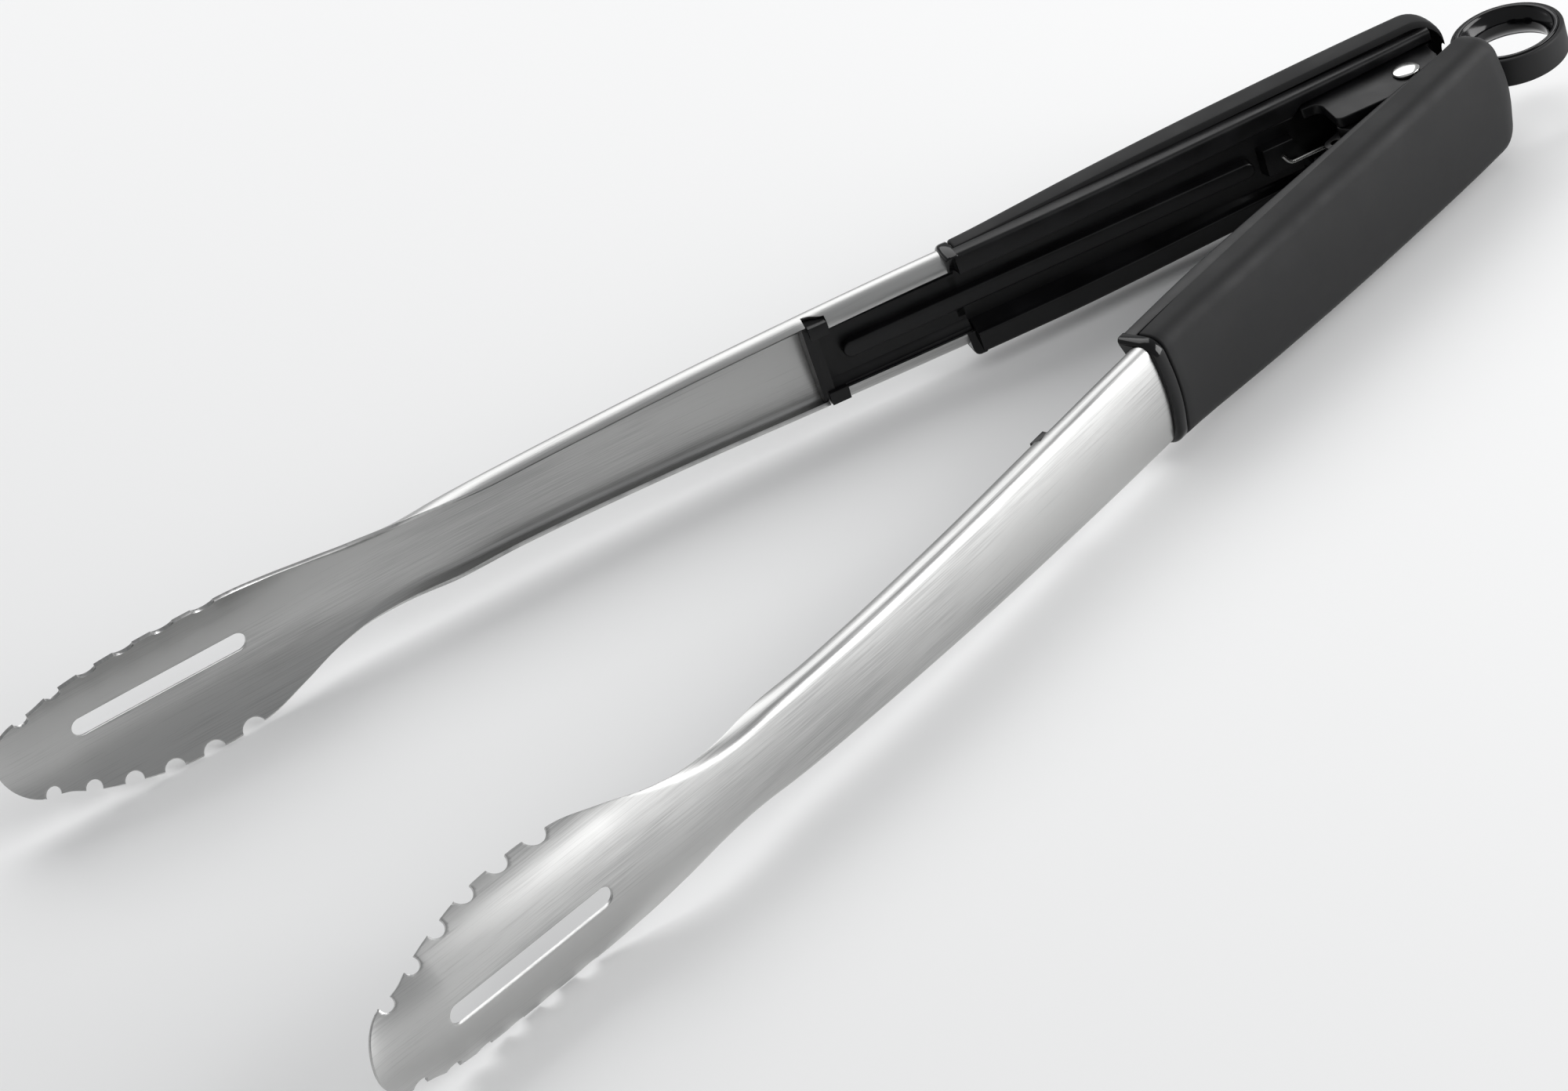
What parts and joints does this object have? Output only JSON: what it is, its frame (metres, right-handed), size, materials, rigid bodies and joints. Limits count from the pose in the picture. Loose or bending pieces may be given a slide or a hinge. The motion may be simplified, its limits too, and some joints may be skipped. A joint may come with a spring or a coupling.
{
  "type": "spring-loaded kitchen tongs",
  "caption": "Long scissor-type kitchen tongs with scalloped scoop heads, soft-covered handles, an opening spring and a pull-ring lock.",
  "frame": {"origin": "centre of the bounding box in plan, on the plane that the tongs lie on", "axes": "+Z along the hinge axis, -X from the hinge to the heads along the middle of the jaw, +Y towards the far arm"},
  "size_m": [0.4536, 0.1976, 0.041],
  "materials": {
    "brushed_stainless": "satin, brushed lengthwise",
    "polished_steel": "polished",
    "spring_steel": "drawn wire, bright",
    "black_nylon": "satin black, glossy on the collar and the ring",
    "soft_grip": "matte soft-touch"
  },
  "bodies": {
    "pivot": {"pivot_rivet": "polished_steel", "pivot_bush": "polished_steel", "torsion_spring": "spring_steel"},
    "far_side": {"far_arm": "brushed_stainless", "far_handle_core": "black_nylon", "far_grip_cover": "soft_grip"},
    "near_side": {"near_arm": "brushed_stainless", "near_handle_core": "black_nylon", "near_grip_cover": "soft_grip"},
    "lock": {"lock_slide": "black_nylon", "lock_pin": "polished_steel", "ring_band": "soft_grip"}
  },
  "joints": [
    {"name": "far_swing", "type": "hinge", "parent": "pivot", "child": "far_side", "pos_m": [0.1767, 0, 0.0205], "axis": [0, 0, 1], "range_deg": [0, 13], "stiffness_Nm_per_rad": 0.9, "springref_deg": -11.46, "deforming": ["torsion_spring"]},
    {"name": "near_swing", "type": "hinge", "parent": "pivot", "child": "near_side", "pos_m": [0.1767, 0, 0.0205], "axis": [0, 0, 1], "range_deg": [-13, 0], "stiffness_Nm_per_rad": 0.9, "springref_deg": 11.46},
    {"name": "ring_pull", "type": "slide", "parent": "pivot", "child": "lock", "axis": [1, 0, 0], "range_m": [0, 0.008]}
  ],
  "couplings": [
    {"joint": "near_swing", "follows": "far_swing", "ratio": -1}
  ]
}
